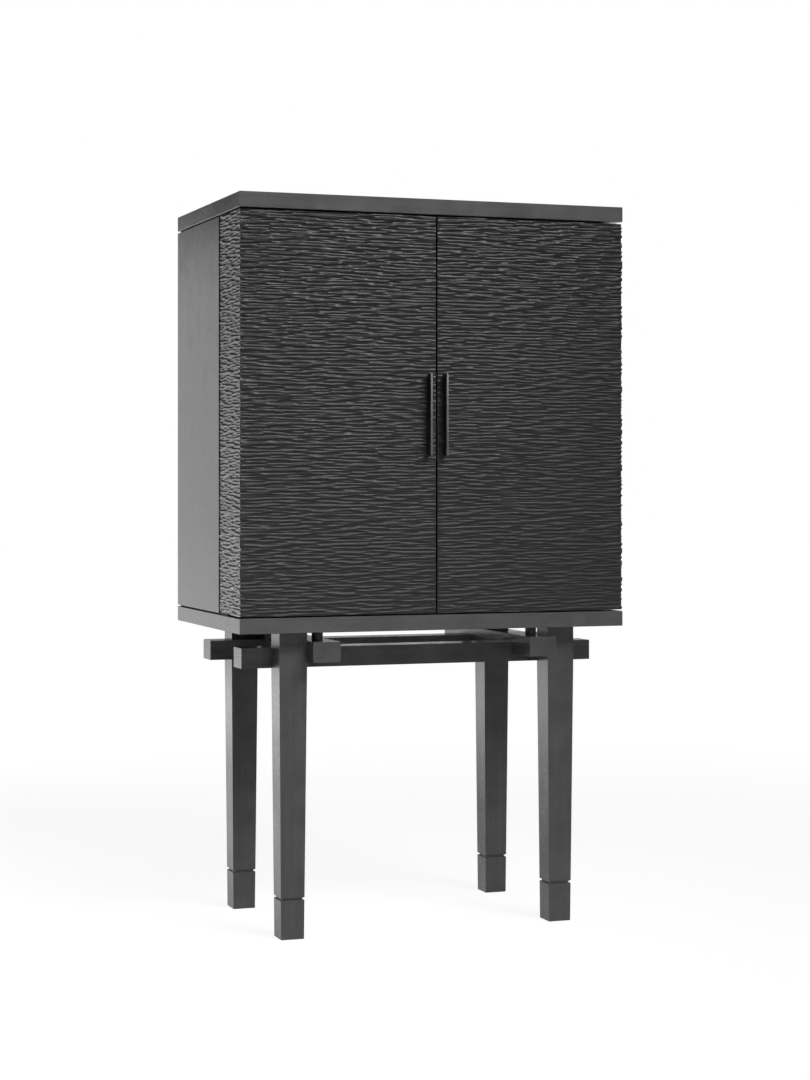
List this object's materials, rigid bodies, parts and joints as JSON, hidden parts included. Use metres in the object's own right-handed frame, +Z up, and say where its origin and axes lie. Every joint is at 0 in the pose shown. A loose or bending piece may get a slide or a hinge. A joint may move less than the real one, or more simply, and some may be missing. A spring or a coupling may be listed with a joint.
{
  "type": "bar cabinet",
  "caption": "Tall two-door bar cabinet with carved wrap-round doors and a fold-out serving leaf, on a stand of tapered legs and crossed beams.",
  "frame": {"origin": "on the floor, at the middle of the whole outline with the handles", "axes": "+Z up, +X to the right of someone facing the doors, doors and handles towards -Y"},
  "size_m": [1.016, 0.632, 1.829],
  "materials": {
    "stained_wood": "charcoal stain, fine open grain, satin",
    "carved_wood": "black stain over level hand gouging, satin",
    "inner_wood": "charcoal stain, smooth, satin",
    "dark_metal": "blackened, brushed",
    "brass": "aged, satin"
  },
  "bodies": {
    "carcass": {"leg_front_left": "stained_wood", "leg_front_right": "stained_wood", "leg_back_left": "stained_wood", "leg_back_right": "stained_wood", "foot_front_left": "stained_wood", "foot_front_right": "stained_wood", "foot_back_left": "stained_wood", "foot_back_right": "stained_wood", "beam_front": "stained_wood", "beam_back": "stained_wood", "beam_left": "stained_wood", "beam_right": "stained_wood", "spacer_front_left": "dark_metal", "spacer_front_right": "dark_metal", "spacer_back_left": "dark_metal", "spacer_back_right": "dark_metal", "bottom_slab": "stained_wood", "top_slab": "stained_wood", "side_panel_left": "stained_wood", "side_panel_right": "stained_wood", "back_panel": "inner_wood", "door_stop": "inner_wood", "upper_shelf": "inner_wood", "cleat_left": "inner_wood", "cleat_right": "inner_wood", "bottle_divider_left": "inner_wood", "bottle_divider_right": "inner_wood", "worktop_fixed": "inner_wood", "fold_hinge_fixed": "brass", "door_left_top_pivot_case_plate": "brass", "door_left_bottom_pivot_case_plate": "brass", "door_right_top_pivot_case_plate": "brass", "door_right_bottom_pivot_case_plate": "brass"},
    "leaf": {"folding_leaf": "inner_wood", "fold_hinge_leaf": "brass"},
    "door_left": {"door_left_front": "carved_wood", "door_left_return": "carved_wood", "door_left_bottom_board": "inner_wood", "door_left_top_board": "inner_wood", "door_left_rack_shelf": "inner_wood", "door_left_upper_rack_end": "inner_wood", "door_left_lower_rack_end": "inner_wood", "door_left_upper_rail": "dark_metal", "door_left_lower_rail": "dark_metal", "door_left_handle": "dark_metal", "door_left_top_pivot_plate": "brass", "door_left_bottom_pivot_plate": "brass"},
    "door_right": {"door_right_front": "carved_wood", "door_right_return": "carved_wood", "door_right_bottom_board": "inner_wood", "door_right_top_board": "inner_wood", "door_right_rack_shelf": "inner_wood", "door_right_upper_rack_end": "inner_wood", "door_right_lower_rack_end": "inner_wood", "door_right_upper_rail": "dark_metal", "door_right_lower_rail": "dark_metal", "door_right_handle": "dark_metal", "door_right_top_pivot_plate": "brass", "door_right_bottom_pivot_plate": "brass"}
  },
  "joints": [
    {"name": "door_left_swing", "type": "hinge", "parent": "carcass", "child": "door_left", "pos_m": [-0.5, -0.12, 1.2925], "axis": [0, 0, -1], "range_deg": [0, 110]},
    {"name": "door_right_swing", "type": "hinge", "parent": "carcass", "child": "door_right", "pos_m": [0.5, -0.12, 1.2925], "axis": [0, 0, 1], "range_deg": [0, 110]},
    {"name": "leaf_fold", "type": "hinge", "parent": "carcass", "child": "leaf", "pos_m": [0, 0.016, 1.1605], "axis": [1, 0, 0], "range_deg": [0, 180]}
  ]
}
